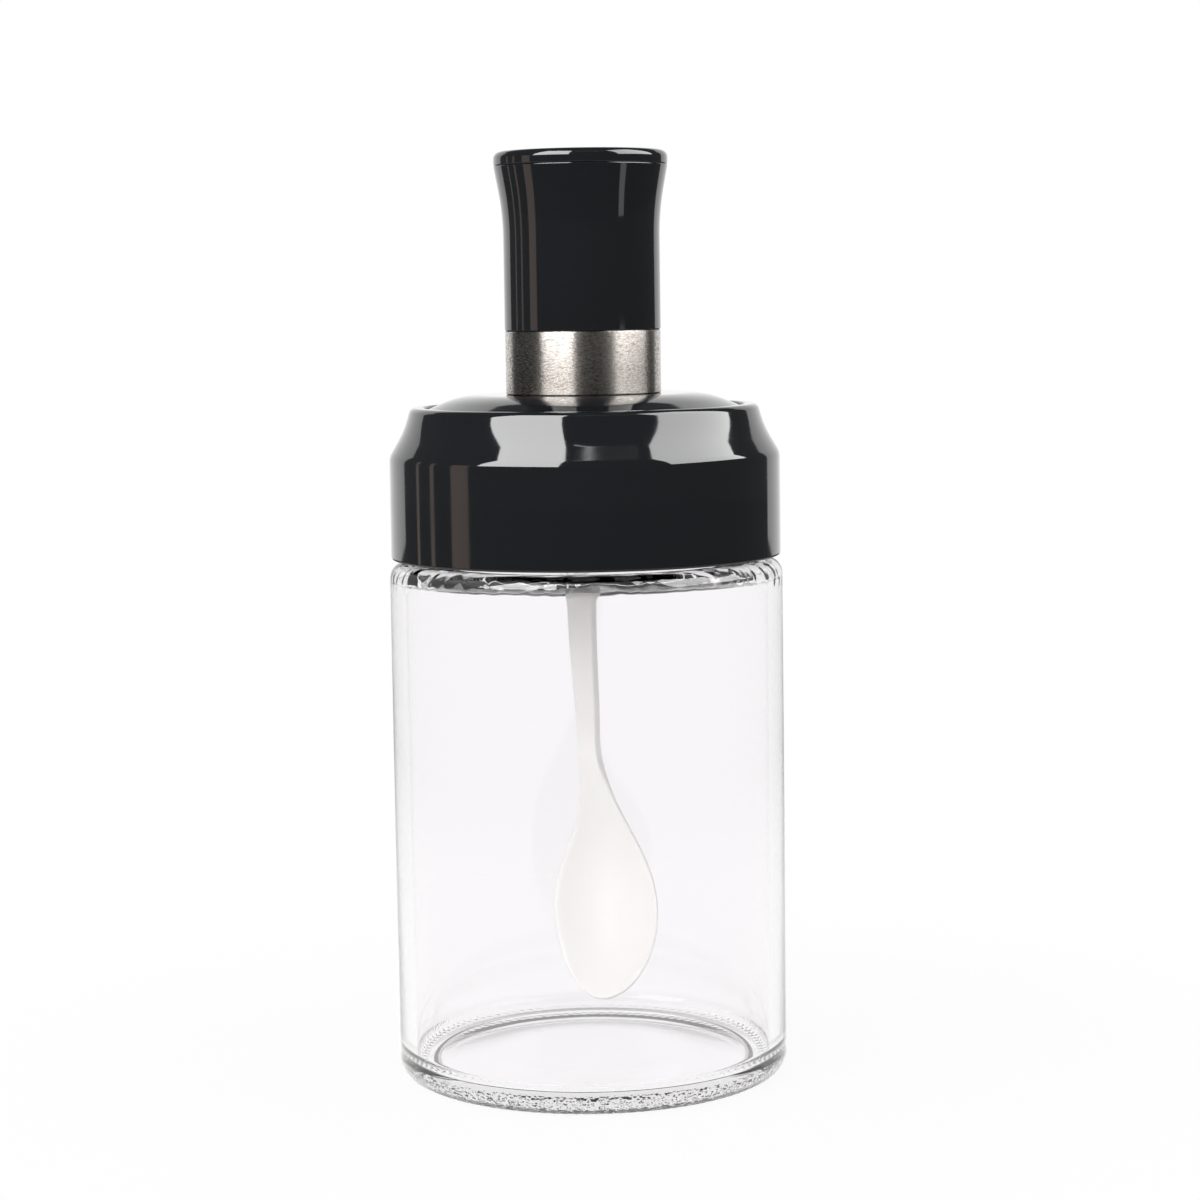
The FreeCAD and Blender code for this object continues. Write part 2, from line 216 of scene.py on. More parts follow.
def makeBlackPlastic(look):
    material, tree = startMaterial("black ABS")
    place = addNode(tree, "ShaderNodeTexCoord")
    smear = addNode(tree, "ShaderNodeTexNoise", None, {
        "Vector": place.outputs["Object"], "Scale": 1 / (look["smearSize"] * mm),
        "Detail": 6.0, "Roughness": look["smearGrit"]})
    rough = addNode(tree, "ShaderNodeMapRange", None, {
        "Value": smear.outputs["Fac"], "From Min": look["smearLow"], "From Max": look["smearHigh"],
        "To Min": look["gloss"], "To Max": look["smeared"]})
    peel = addNode(tree, "ShaderNodeTexNoise", None, {
        "Vector": place.outputs["Object"], "Scale": 1 / (look["peelSize"] * mm), "Detail": 1.0})
    bump = addNode(tree, "ShaderNodeBump", None, {
        "Height": peel.outputs["Fac"], "Strength": look["peelStrength"],
        "Distance": look["peelDepth"] * mm})
    shader = addNode(tree, "ShaderNodeBsdfPrincipled", None, {
        "Base Color": linearColour(look["colour"]), "IOR": look["ior"],
        "Roughness": rough.outputs["Result"], "Normal": bump.outputs["Normal"]})
    addNode(tree, "ShaderNodeOutputMaterial", None, {"Surface": shader.outputs["BSDF"]})
    return material


# Stainless steel, satin ground round the axis: the grain stretches a lamp into an upright band, and
# short flecks of grain sparkle in it. They are drawn coarser than real grit, so that they show.
steelLook = {
    "light": "#c3beb8", "dark": "#7a746f", "rough": 0.24, "dull": 0.40, "anisotropy": 0.9,
    "grainTurn": 0.25, "fleckLength": 0.75, "fleckHeight": 0.28, "fleckDepth": 0.03,
    "fleckStrength": 0.5, "fleckGrit": 0.6, "fleckLow": 0.36, "fleckHigh": 0.64,
}


def makeSteel(look):
    material, tree = startMaterial("satin stainless steel")
    place = addNode(tree, "ShaderNodeTexCoord")
    along, across = 1 / (look["fleckLength"] * mm), 1 / (look["fleckHeight"] * mm)
    grain = addNode(tree, "ShaderNodeMapping", None, {
        "Vector": place.outputs["Object"], "Scale": (along, along, across)})
    flecks = addNode(tree, "ShaderNodeTexNoise", None, {
        "Vector": grain.outputs["Vector"], "Scale": 1.0, "Detail": 3.0,
        "Roughness": look["fleckGrit"]})
    share = addNode(tree, "ShaderNodeMapRange", None, {
        "Value": flecks.outputs["Fac"],
        "From Min": look["fleckLow"], "From Max": look["fleckHigh"]})
    colour = addNode(tree, "ShaderNodeMix", {"data_type": "RGBA"}, {
        "Factor": share.outputs["Result"],
        "A": linearColour(look["dark"]), "B": linearColour(look["light"])})
    rough = addNode(tree, "ShaderNodeMapRange", None, {
        "Value": share.outputs["Result"], "To Min": look["dull"], "To Max": look["rough"]})
    bump = addNode(tree, "ShaderNodeBump", None, {
        "Height": flecks.outputs["Fac"], "Strength": look["fleckStrength"],
        "Distance": look["fleckDepth"] * mm})
    tangent = addNode(tree, "ShaderNodeTangent", {"direction_type": "RADIAL", "axis": "Z"})
    shader = addNode(tree, "ShaderNodeBsdfPrincipled", None, {
        "Base Color": colour.outputs["Result"], "Metallic": 1.0,
        "Roughness": rough.outputs["Result"], "Anisotropic": look["anisotropy"],
        "Anisotropic Rotation": look["grainTurn"], "Normal": bump.outputs["Normal"],
        "Tangent": tangent.outputs["Tangent"]})
    addNode(tree, "ShaderNodeOutputMaterial", None, {"Surface": shader.outputs["BSDF"]})
    return material


# Soft moulded polymers: white polypropylene is waxy and a little see-through, silicone is duller
# and softer, and the black inner cap has a satin sheen. The shared values hold for all of them.
softLooks = {
    "shared": {
        "cloudLow": 0.35, "cloudHigh": 0.65, "grainStrength": 0.3, "glowSpread": (1.0, 0.85, 0.7)},
    "spoon": {
        "name": "white polypropylene, spoon", "light": "#faf9f6", "dark": "#f6f4f1", "ior": 1.49,
        "rough": 0.32, "dull": 0.45, "glow": 0.12, "glowDepth": 1.5,
        "cloudSize": 9.0, "grainSize": 0.7, "grainDepth": 0.01},
    "plug": {
        "name": "white polypropylene, plug", "light": "#efece6", "dark": "#e2ded6", "ior": 1.49,
        "rough": 0.38, "dull": 0.52, "glow": 0.08, "glowDepth": 1.2,
        "cloudSize": 8.0, "grainSize": 0.5, "grainDepth": 0.012},
    "seal": {
        "name": "translucent silicone", "light": "#e9e7e1", "dark": "#dad7cf", "ior": 1.41,
        "rough": 0.48, "dull": 0.62, "glow": 0.25, "glowDepth": 2.0,
        "cloudSize": 5.0, "grainSize": 0.4, "grainDepth": 0.015},
    "cap": {
        "name": "black polypropylene, inner cap", "light": "#1e1f21", "dark": "#18191b",
        "ior": 1.49, "rough": 0.34, "dull": 0.48, "glow": 0.0, "glowDepth": 1.0,
        "cloudSize": 8.0, "grainSize": 0.5, "grainDepth": 0.012},
}


def makeSoftPlastic(kind):
    look = {**softLooks["shared"], **softLooks[kind]}
    material, tree = startMaterial(look["name"])
    place = addNode(tree, "ShaderNodeTexCoord")
    clouds = addNode(tree, "ShaderNodeTexNoise", None, {
        "Vector": place.outputs["Object"], "Scale": 1 / (look["cloudSize"] * mm), "Detail": 4.0})
    colour = addNode(tree, "ShaderNodeMix", {"data_type": "RGBA"}, {
        "Factor": clouds.outputs["Fac"],
        "A": linearColour(look["dark"]), "B": linearColour(look["light"])})
    rough = addNode(tree, "ShaderNodeMapRange", None, {
        "Value": clouds.outputs["Fac"], "From Min": look["cloudLow"], "From Max": look["cloudHigh"],
        "To Min": look["rough"], "To Max": look["dull"]})
    grain = addNode(tree, "ShaderNodeTexNoise", None, {
        "Vector": place.outputs["Object"], "Scale": 1 / (look["grainSize"] * mm), "Detail": 2.0})
    bump = addNode(tree, "ShaderNodeBump", None, {
        "Height": grain.outputs["Fac"], "Strength": look["grainStrength"],
        "Distance": look["grainDepth"] * mm})
    shader = addNode(tree, "ShaderNodeBsdfPrincipled", None, {
        "Base Color": colour.outputs["Result"], "Roughness": rough.outputs["Result"],
        "IOR": look["ior"], "Subsurface Weight": look["glow"],
        "Subsurface Radius": look["glowSpread"], "Subsurface Scale": look["glowDepth"] * mm,
        "Normal": bump.outputs["Normal"]})
    addNode(tree, "ShaderNodeOutputMaterial", None, {"Surface": shader.outputs["BSDF"]})
    return material


# Zinc-plated steel of the screw inside the knob: grey and cloudy.
zincLook = {"light": "#bfbfba", "dark": "#8f8f8a", "rough": 0.3, "dull": 0.46, "cloudSize": 1.4}


def makeZinc(look):
    material, tree = startMaterial("zinc-plated steel")
    place = addNode(tree, "ShaderNodeTexCoord")
    clouds = addNode(tree, "ShaderNodeTexNoise", None, {
        "Vector": place.outputs["Object"], "Scale": 1 / (look["cloudSize"] * mm), "Detail": 4.0})
    colour = addNode(tree, "ShaderNodeMix", {"data_type": "RGBA"}, {
        "Factor": clouds.outputs["Fac"],
        "A": linearColour(look["dark"]), "B": linearColour(look["light"])})
    rough = addNode(tree, "ShaderNodeMapRange", None, {
        "Value": clouds.outputs["Fac"], "To Min": look["rough"], "To Max": look["dull"]})
    shader = addNode(tree, "ShaderNodeBsdfPrincipled", None, {
        "Base Color": colour.outputs["Result"], "Metallic": 1.0,
        "Roughness": rough.outputs["Result"]})
    addNode(tree, "ShaderNodeOutputMaterial", None, {"Surface": shader.outputs["BSDF"]})
    return material


glass = makeGlass(glassLook)
blackPlastic = makeBlackPlastic(blackLook)
satinSteel = makeSteel(steelLook)
spoonPlastic = makeSoftPlastic("spoon")
plugPlastic = makeSoftPlastic("plug")
capPlastic = makeSoftPlastic("cap")
sealSilicone = makeSoftPlastic("seal")
screwZinc = makeZinc(zincLook)
print("materials:", len(bpy.data.materials))

# Glass jar, with the screw rib on its neck and two staggered rows of dents on its heel. A dent row
# is (radius, half width). Rings on the flat of the foot and of the floor are shares of their width.
jar = {
    "radius": 35.0, "shoulder": 92.4, "wall": 2.8, "floor": 3.75, "pushUp": 1.1,
    "heel": 3.6, "foot": 2.2, "floorCorner": 2.6, "shoulderCorner": 3.2, "shoulderWall": 2.0,
    "ceilingCorner": 1.7, "neckRadius": 29.7, "mouthRadius": 26.7, "rim": 108.1,
    "neckRoot": 1.0, "mouthRounding": 0.9, "around": 540, "neckRings": 40, "heelRings": 24,
    "footRings": (0.33, 0.67), "floorRing": 0.5,
    "ribPitch": 4.5, "ribDepth": 1.3, "ribLift": 5.6, "ribTurns": 1.25, "ribRoot": 1.3,
    "ribCrest": 0.61, "ribFade": 0.14,
    "dots": 108, "dotDepth": 0.2, "dotRows": ((32.1, 0.75), (33.5, 0.75)),
}


# How far the rib stands out of the neck. It overlaps itself for part of a turn.
def ribHeight(settings, angle, height):
    best = 0.0
    flankRise = settings["ribRoot"] - settings["ribCrest"]
    for lap in range(2):
        turn = angle / (2 * math.pi) + lap
        if turn > settings["ribTurns"]:
            continue
        middle = settings["shoulder"] + settings["ribLift"] + settings["ribPitch"] * turn
        fade = min(1.0, min(turn, settings["ribTurns"] - turn) / settings["ribFade"])
        flank = min(1.0, max(0.0, (settings["ribRoot"] - abs(height - middle)) / flankRise))
        best = max(best, settings["ribDepth"] * fade * flank * flank * (3 - 2 * flank))
    return best


def dentShare(settings, angle, radius):
    best = 0.0
    for row, (middle, halfWidth) in enumerate(settings["dotRows"]):
        across = max(0.0, 1 - ((radius - middle) / halfWidth) ** 2)
        best = max(best, across * (0.5 - 0.5 * math.cos(settings["dots"] * angle + math.pi * row)))
    return best


def makeJar(settings):
    footOuter = settings["radius"] - settings["heel"]
    footInner = footOuter - settings["foot"]
    inner = settings["radius"] - settings["wall"]
    ceiling = settings["shoulder"] - settings["shoulderWall"]
    neckFrom = settings["shoulder"] + settings["neckRoot"]
    neckTo = settings["rim"] - settings["mouthRounding"]
    neckWall = []
    for step in range(1, settings["neckRings"]):
        neckWall.append((
            settings["neckRadius"], neckFrom + (neckTo - neckFrom) * step / settings["neckRings"]))
    heelArc = []
    for step in range(settings["heelRings"] + 1):
        turn = math.radians(90) * step / settings["heelRings"]
        heelArc.append((
            footOuter + settings["heel"] * math.sin(turn), settings["heel"] * (1 - math.cos(turn))))
    outside = [
        (0, settings["pushUp"]),
        (footInner * settings["floorRing"], settings["pushUp"]),
        (footInner - settings["pushUp"], settings["pushUp"], settings["pushUp"]),
        (footInner, 0),
        *[(footInner + settings["foot"] * share, 0) for share in settings["footRings"]],
        *heelArc,
        (settings["radius"], settings["shoulder"], settings["shoulderCorner"]),
        (settings["neckRadius"], settings["shoulder"], settings["neckRoot"]),
    ]
    inside = [
        (settings["neckRadius"], settings["rim"], settings["mouthRounding"]),
        (settings["mouthRadius"], settings["rim"], settings["mouthRounding"]),
        (settings["mouthRadius"], ceiling, settings["neckRoot"]),
        (inner, ceiling, settings["ceilingCorner"]),
        (inner, settings["floor"], settings["floorCorner"]),
        (inner * settings["floorRing"], settings["floor"]),
        (0, settings["floor"]),
    ]
    points = roundedOutline(outside + neckWall + inside)
    piece = turnPiece("jar_glass", points, settings["around"], closed=False)
    onNeck = 0.01  # a point this near to the neck's radius is on its wall
    for vertex in piece.data.vertices:
        place = vertex.co / mm
        radius = math.hypot(place.x, place.y)
        angle = math.atan2(place.y, place.x) % (2 * math.pi)
        if abs(radius - settings["neckRadius"]) < onNeck and neckFrom < place.z < neckTo:
            share = (radius + ribHeight(settings, angle, place.z)) / radius
            vertex.co.x *= share
            vertex.co.y *= share
        if place.z < settings["heel"] / 2 and radius > footOuter:
            inward = Vector((footOuter - radius, settings["heel"] - place.z)).normalized()
            inward *= settings["dotDepth"] * dentShare(settings, angle, radius)
            share = (radius + inward.x) / radius
            vertex.co = (vertex.co.x * share, vertex.co.y * share, vertex.co.z + inward.y * mm)
    return piece


jarGlass = makeJar(jar)
fitPiece(jarGlass, "jar", "glass_jar", glass)

# Outer shell of the lid: skirt, S-shaped shoulder and rounded rim.
lid = {
    "radius": 34.75, "bore": 33.05, "foot": 93.2, "edge": 0.45,
    "shoulderFoot": 111.3, "shoulderRounding": 3.0, "waistRadius": 32.017, "waistHeight": 115.998,
    "rimRadius": 30.9, "rimHeight": 120.0, "rimRounding": 1.25,
    "crownRadius": 28.5, "crownEdge": 0.4, "seat": 117.5, "ledgeRadius": 26.7, "ledgeFoot": 115.9,
    "linerBore": 31.4, "wall": 1.7, "around": 192,
}
lidOutline = roundedOutline([
    (lid["bore"], lid["foot"], lid["edge"]),
    (lid["radius"], lid["foot"], lid["edge"]),
    (lid["radius"], lid["shoulderFoot"], lid["shoulderRounding"]),
    (lid["waistRadius"], lid["waistHeight"], asFarAsItGoes),
    (lid["rimRadius"], lid["rimHeight"], lid["rimRounding"]),
    (lid["crownRadius"], lid["rimHeight"], lid["crownEdge"]),
    (lid["crownRadius"], lid["seat"]),
    (lid["ledgeRadius"], lid["seat"]),
    (lid["ledgeRadius"], lid["ledgeFoot"]),
    (lid["rimRadius"] - lid["wall"], lid["ledgeFoot"]),
    (lid["linerBore"], lid["shoulderFoot"]),
    (lid["bore"], lid["shoulderFoot"]),
], arcStep=5.0)
lidShell = turnPiece("lid_skirt", lidOutline, lid["around"])
fitPiece(lidShell, "lid", "lid_shell", blackPlastic)

# Domed crown that sits inside the rim and round the stopper.
crown = {
    "bore": 12.75, "flat": 14.85, "knee": 21.938, "border": 28.45,
    "top": 122.1, "borderHeight": 119.3, "seat": 117.5, "ledge": 26.7, "underside": 120.3,
    "spigotOuter": 16.1, "spigotInner": 14.3, "spigotFoot": 117.3,
    "boreEdge": 0.25, "borderEdge": 0.25, "around": 192,
}
crownOutline = roundedOutline([
    (crown["bore"], crown["underside"]),
    (crown["bore"], crown["top"], crown["boreEdge"]),
    (crown["flat"], crown["top"]),
    (crown["knee"], crown["top"], asFarAsItGoes),
    (crown["border"], crown["borderHeight"], crown["borderEdge"]),
    (crown["border"], crown["seat"]),
    (crown["ledge"], crown["seat"]),
    (crown["knee"], crown["underside"], asFarAsItGoes),
    (crown["spigotOuter"], crown["underside"]),
    (crown["spigotOuter"], crown["spigotFoot"]),
    (crown["spigotInner"], crown["spigotFoot"]),
    (crown["spigotInner"], crown["underside"]),
], arcStep=2.0)
lidCrown = turnPiece("lid_dome", crownOutline, crown["around"])
fitPiece(lidCrown, "lid", "lid_crown", blackPlastic)

# Steel sleeve at the foot of the knob.
sleeve = {"radius": 13.8, "bore": 13.1, "foot": 122.15, "top": 133.25, "edge": 0.22, "around": 160}
sleeveOutline = roundedOutline([
    (sleeve["bore"], sleeve["foot"], sleeve["edge"]),
    (sleeve["radius"], sleeve["foot"], sleeve["edge"]),
    (sleeve["radius"], sleeve["top"], sleeve["edge"]),
    (sleeve["bore"], sleeve["top"], sleeve["edge"]),
], arcStep=15.0)
knobSleeve = turnPiece("knob_sleeve", sleeveOutline, sleeve["around"])
fitPiece(knobSleeve, "stopper", "steel_sleeve", satinSteel)

# Flared grip of the knob and the cap that closes it, with a fine seam between them.
knob = {
    "radius": 13.88, "topRadius": 15.43, "foot": 133.25, "top": 162.35,
    "flareFrom": 145.472, "flareTo": 153.911, "footEdge": 0.3, "seam": 0.22,
    "bore": 11.68, "floor": 134.75, "hole": 2.0, "bossRadius": 13.05, "bossFoot": 131.25,
    "capTop": 164.95, "capRounding": 1.9, "capCrown": 0.12, "capCeiling": 163.35,
    "capSpigot": 11.63, "capSpigotInner": 10.03, "capSpigotFoot": 158.35, "around": 160,
}
gripOutline = roundedOutline([
    (knob["hole"], knob["bossFoot"]),
    (knob["bossRadius"], knob["bossFoot"]),
    (knob["bossRadius"], knob["foot"]),
    (knob["radius"], knob["foot"], knob["footEdge"]),
    (knob["radius"], knob["flareFrom"]),
    (knob["radius"], knob["flareTo"], asFarAsItGoes),
    (knob["topRadius"], knob["top"], knob["seam"]),
    (knob["bore"], knob["top"]),
    (knob["bore"], knob["floor"]),
    (knob["hole"], knob["floor"]),
], arcStep=1.0)
knobGrip = turnPiece("knob_handle", gripOutline, knob["around"])
fitPiece(knobGrip, "stopper", "knob_grip", blackPlastic)
capOutline = roundedOutline([
    (0, knob["capCeiling"]),
    (knob["capSpigotInner"], knob["capCeiling"]),
    (knob["capSpigotInner"], knob["capSpigotFoot"]),
    (knob["capSpigot"], knob["capSpigotFoot"]),
    (knob["capSpigot"], knob["top"]),
    (knob["topRadius"], knob["top"], knob["seam"]),
    (knob["topRadius"], knob["capTop"] - knob["capCrown"], knob["capRounding"]),
    (0, knob["capTop"]),
], arcStep=8.0)
knobCap = turnPiece("knob_top", capOutline, knob["around"], closed=False)
fitPiece(knobCap, "stopper", "knob_cap", blackPlastic)

# Spoon: a flat stem that bows forward and a bowl that faces the front. Rows of the bowl give the
# height from the tip, half width, depth and setback as shares of the sizes above them. The mesh's
# rows crowd towards the tip.
spoon = {
    "tip": 11.45, "bowlLength": 47.0, "halfBowl": 10.35, "bowlDepth": 4.2, "bowlWall": 0.9,
    "setback": 4.9, "lean": 0.5, "stemWidth": 6.4, "neckWidth": 3.8, "stemThickness": 2.4,
    "stemBow": 2.3, "stemTop": 109.15, "socketTop": 117.1, "turn": -25.0,
    "columns": 11, "bowlRows": 26, "stemRows": 18, "stemSteps": 8, "crowding": 1.5,
    "smoothing": 2, "weld": 0.001,
    "rows": (
        (0.0, 0.08, 0.01, 0.64), (0.012, 0.25, 0.05, 0.67), (0.04, 0.45, 0.17, 0.72),
        (0.09, 0.66, 0.42, 0.80), (0.18, 0.87, 0.78, 0.91), (0.28, 0.98, 0.97, 0.98),
        (0.37, 1.0, 1.0, 1.0), (0.47, 0.92, 0.91, 1.03), (0.57, 0.75, 0.68, 1.04),
        (0.67, 0.53, 0.38, 0.93), (0.80, 0.32, 0.12, 0.50),
    ),
}


# Smooth value between the stations (height, values...), without overshoot.
def smoothStation(stations, height):
    for low, high in zip(range(len(stations)), range(1, len(stations))):
        if height <= stations[high][0] or high == len(stations) - 1:
            break
    span = stations[high][0] - stations[low][0]
    share = min(1.0, max(0.0, (height - stations[low][0]) / span))
    values = []
    for column in range(1, len(stations[0])):
        slopes = []
        for spot in (low, high):
            if 0 < spot < len(stations) - 1:
                before, here, after = stations[spot - 1], stations[spot], stations[spot + 1]
                fall = (here[column] - before[column]) / (here[0] - before[0])
                rise = (after[column] - here[column]) / (after[0] - here[0])
                slopes.append(2 * fall * rise / (fall + rise) if fall * rise > 0 else 0.0)
            else:
                slopes.append((stations[high][column] - stations[low][column]) / span)
        start, end = stations[low][column], stations[high][column]
        squared, cubed = share ** 2, share ** 3
        values.append(
            start * (2 * cubed - 3 * squared + 1) + end * (3 * squared - 2 * cubed)
            + span * (slopes[0] * (cubed - 2 * squared + share) + slopes[1] * (cubed - squared))
        )
    return values


def makeSpoon(settings):
    stations = []
    for height, width, depth, setback in settings["rows"]:
        stations.append((
            settings["tip"] + settings["bowlLength"] * height,
            settings["lean"] * width, settings["halfBowl"] * width,
            settings["setback"] * setback + settings["bowlWall"] / 2,
            settings["bowlDepth"] * depth, settings["bowlWall"],
        ))
    neck = settings["tip"] + settings["bowlLength"]
    for step in range(settings["stemSteps"] + 1):
        share = step / settings["stemSteps"]
        stations.append((
            neck + (settings["stemTop"] - neck) * share, 0.0,
            (settings["neckWidth"] + (settings["stemWidth"] - settings["neckWidth"]) * share) / 2,
            -settings["stemBow"] * math.sin(math.pi * share) ** 2, 0.0, settings["stemThickness"],
        ))
    stations.append((
        settings["socketTop"], 0.0, settings["stemWidth"] / 2, 0.0, 0.0, settings["stemThickness"]))
    heights = []
    for row in range(settings["bowlRows"]):
        share = (row / settings["bowlRows"]) ** settings["crowding"]
        heights.append(settings["tip"] + (neck - settings["tip"]) * share)
    for row in range(settings["stemRows"] + 1):
        heights.append(neck + (settings["socketTop"] - neck) * row / settings["stemRows"])
    clearSelection()
    bpy.ops.mesh.primitive_grid_add(
        x_subdivisions=settings["columns"] - 1, y_subdivisions=len(heights) - 1, size=2.0)
    piece = bpy.context.object
    piece.name = piece.data.name = "spice_spoon"
    thickness = piece.vertex_groups.new(name="thickness")
    turn = Matrix.Rotation(math.radians(settings["turn"]), 3, "Z")
    for vertex in piece.data.vertices:
        across = vertex.co.x
        row = round((vertex.co.y + 1) / 2 * (len(heights) - 1))
        height = heights[row]
        lean, halfWidth, back, depth, wall = smoothStation(stations, height)
        spot = Vector((lean + halfWidth * across, back + depth * (1 - across ** 2), height)) * mm
        vertex.co = turn @ spot
        thickness.add([vertex.index], wall / settings["stemThickness"], "REPLACE")
    solidify = piece.modifiers.new("wall", "SOLIDIFY")
    solidify.thickness = settings["stemThickness"] * mm
    solidify.offset = 0.0
    solidify.vertex_group = "thickness"
    solidify.use_even_offset = True
    soften = piece.modifiers.new("soften", "SUBSURF")
    soften.levels = soften.render_levels = settings["smoothing"]
    for modifier in ("wall", "soften"):
        bpy.ops.object.modifier_apply(modifier=modifier)
    piece.vertex_groups.clear()
    bpy.ops.object.mode_set(mode="EDIT")
    bpy.ops.mesh.select_all(action="SELECT")
    bpy.ops.mesh.remove_doubles(threshold=settings["weld"] * mm)
    bpy.ops.mesh.normals_make_consistent(inside=False)
    bpy.ops.object.mode_set(mode="OBJECT")
    bpy.ops.object.shade_smooth()
    return piece


spiceSpoon = makeSpoon(spoon)
fitPiece(spiceSpoon, "stopper", "spoon", spoonPlastic)

# The pieces whose CAD shape is right keep it and get their finish.
keptNodes = {
    "thread_liner": capPlastic, "stopper_plug": plugPlastic, "mouth_gasket": sealSilicone,
    "stopper_seal": sealSilicone, "clamp_screw": screwZinc,
}
for nodeName, material in keptNodes.items():
    kept = nodes[nodeName]
    for materialSlot in kept.material_slots:
        materialSlot.material = material
print("kept nodes:", ", ".join(keptNodes))

# Pale floor. The eye, and glass in front of it, see it nearly white with the jar's soft shadow.
# Gloss sees it fade into the dim room.
floor = {
    "radius": 1600.0, "around": 96, "drop": 0.05, "colour": "#f2f1ef",
    "whiteNear": 0.92, "nearRadius": 45.0, "farRadius": 170.0,
    "fadeFrom": 70.0, "fadeTo": 420.0, "dim": 0.08,
}


def makeFloor(settings):
    clearSelection()
    bpy.ops.mesh.primitive_circle_add(
        vertices=settings["around"], radius=settings["radius"] * mm, fill_type="NGON")
    piece = bpy.context.object
    piece.name = piece.data.name = "studio_floor"
    bpy.ops.object.mode_set(mode="EDIT")
    bpy.ops.mesh.select_all(action="SELECT")
    bpy.ops.transform.translate(value=(0, 0, -settings["drop"] * mm))
    bpy.ops.object.mode_set(mode="OBJECT")
    material, tree = startMaterial("white paper sweep")
    place = addNode(tree, "ShaderNodeTexCoord")
    reach = addNode(tree, "ShaderNodeVectorMath", {"operation": "LENGTH"}, {
        0: place.outputs["Object"]})
    white = addNode(tree, "ShaderNodeMapRange", None, {
        "Value": reach.outputs["Value"], "From Min": settings["nearRadius"] * mm,
        "From Max": settings["farRadius"] * mm, "To Min": settings["whiteNear"], "To Max": 1.0})
    fade = addNode(tree, "ShaderNodeMapRange", None, {
        "Value": reach.outputs["Value"],
        "From Min": settings["fadeFrom"] * mm, "From Max": settings["fadeTo"] * mm})
    path = addNode(tree, "ShaderNodeLightPath")
    seen = addNode(tree, "ShaderNodeMath", {"operation": "MAXIMUM"}, {
        0: path.outputs["Is Camera Ray"], 1: path.outputs["Is Transmission Ray"]})
    seenShare = addNode(tree, "ShaderNodeMath", {"operation": "MULTIPLY"}, {
        0: seen.outputs["Value"], 1: white.outputs["Result"]})
    glossShare = addNode(tree, "ShaderNodeMath", {"operation": "MULTIPLY"}, {
        0: path.outputs["Is Glossy Ray"], 1: fade.outputs["Result"]})
    share = addNode(tree, "ShaderNodeMath", {"operation": "MAXIMUM"}, {
        0: seenShare.outputs["Value"], 1: glossShare.outputs["Value"]})
    level = addNode(tree, "ShaderNodeMapRange", None, {
        "Value": seen.outputs["Value"], "To Min": settings["dim"], "To Max": 1.0})
    matte = addNode(tree, "ShaderNodeBsdfDiffuse", None, {
        "Color": linearColour(settings["colour"])})
    glow = addNode(tree, "ShaderNodeEmission", None, {
        "Color": (1, 1, 1, 1), "Strength": level.outputs["Result"]})
    mix = addNode(tree, "ShaderNodeMixShader", None, {
        0: share.outputs["Value"], 1: matte.outputs["BSDF"], 2: glow.outputs["Emission"]})
    addNode(tree, "ShaderNodeOutputMaterial", None, {"Surface": mix.outputs["Shader"]})
    piece.data.materials.append(material)


makeFloor(floor)

# World: white behind the jar and through its glass, an even soft light on matt surfaces, and a dim
# room in what gloss reflects.
worldLook = {"seen": 1.0, "ambient": 0.68, "reflected": 0.1}


def makeWorld(look):
    world = bpy.data.worlds.new("white studio")
    bpy.context.scene.world = world
    world.use_nodes = True
    tree = world.node_tree
    tree.nodes.clear()
    path = addNode(tree, "ShaderNodeLightPath")
    bounced = addNode(tree, "ShaderNodeMath", {"operation": "MINIMUM"}, {
        0: path.outputs["Diffuse Depth"], 1: 1.0})
    straight = addNode(tree, "ShaderNodeMath", {"operation": "SUBTRACT"}, {
        0: 1.0, 1: bounced.outputs["Value"]})
    seen = addNode(tree, "ShaderNodeMath", {"operation": "MAXIMUM"}, {
        0: path.outputs["Is Camera Ray"], 1: path.outputs["Is Transmission Ray"]})
    direct = addNode(tree, "ShaderNodeMath", {"operation": "MULTIPLY"}, {
        0: seen.outputs["Value"], 1: straight.outputs["Value"]})
    room = addNode(tree, "ShaderNodeMapRange", None, {
        "Value": bounced.outputs["Value"], "To Min": look["reflected"], "To Max": look["ambient"]})
    level = addNode(tree, "ShaderNodeMapRange", None, {
        "Value": direct.outputs["Value"], "To Min": room.outputs["Result"], "To Max": look["seen"]})
    background = addNode(tree, "ShaderNodeBackground", None, {
        "Color": (1, 1, 1, 1), "Strength": level.outputs["Result"]})
    addNode(tree, "ShaderNodeOutputWorld", None, {"Surface": background.outputs["Background"]})


makeWorld(worldLook)
print("floor and world set")

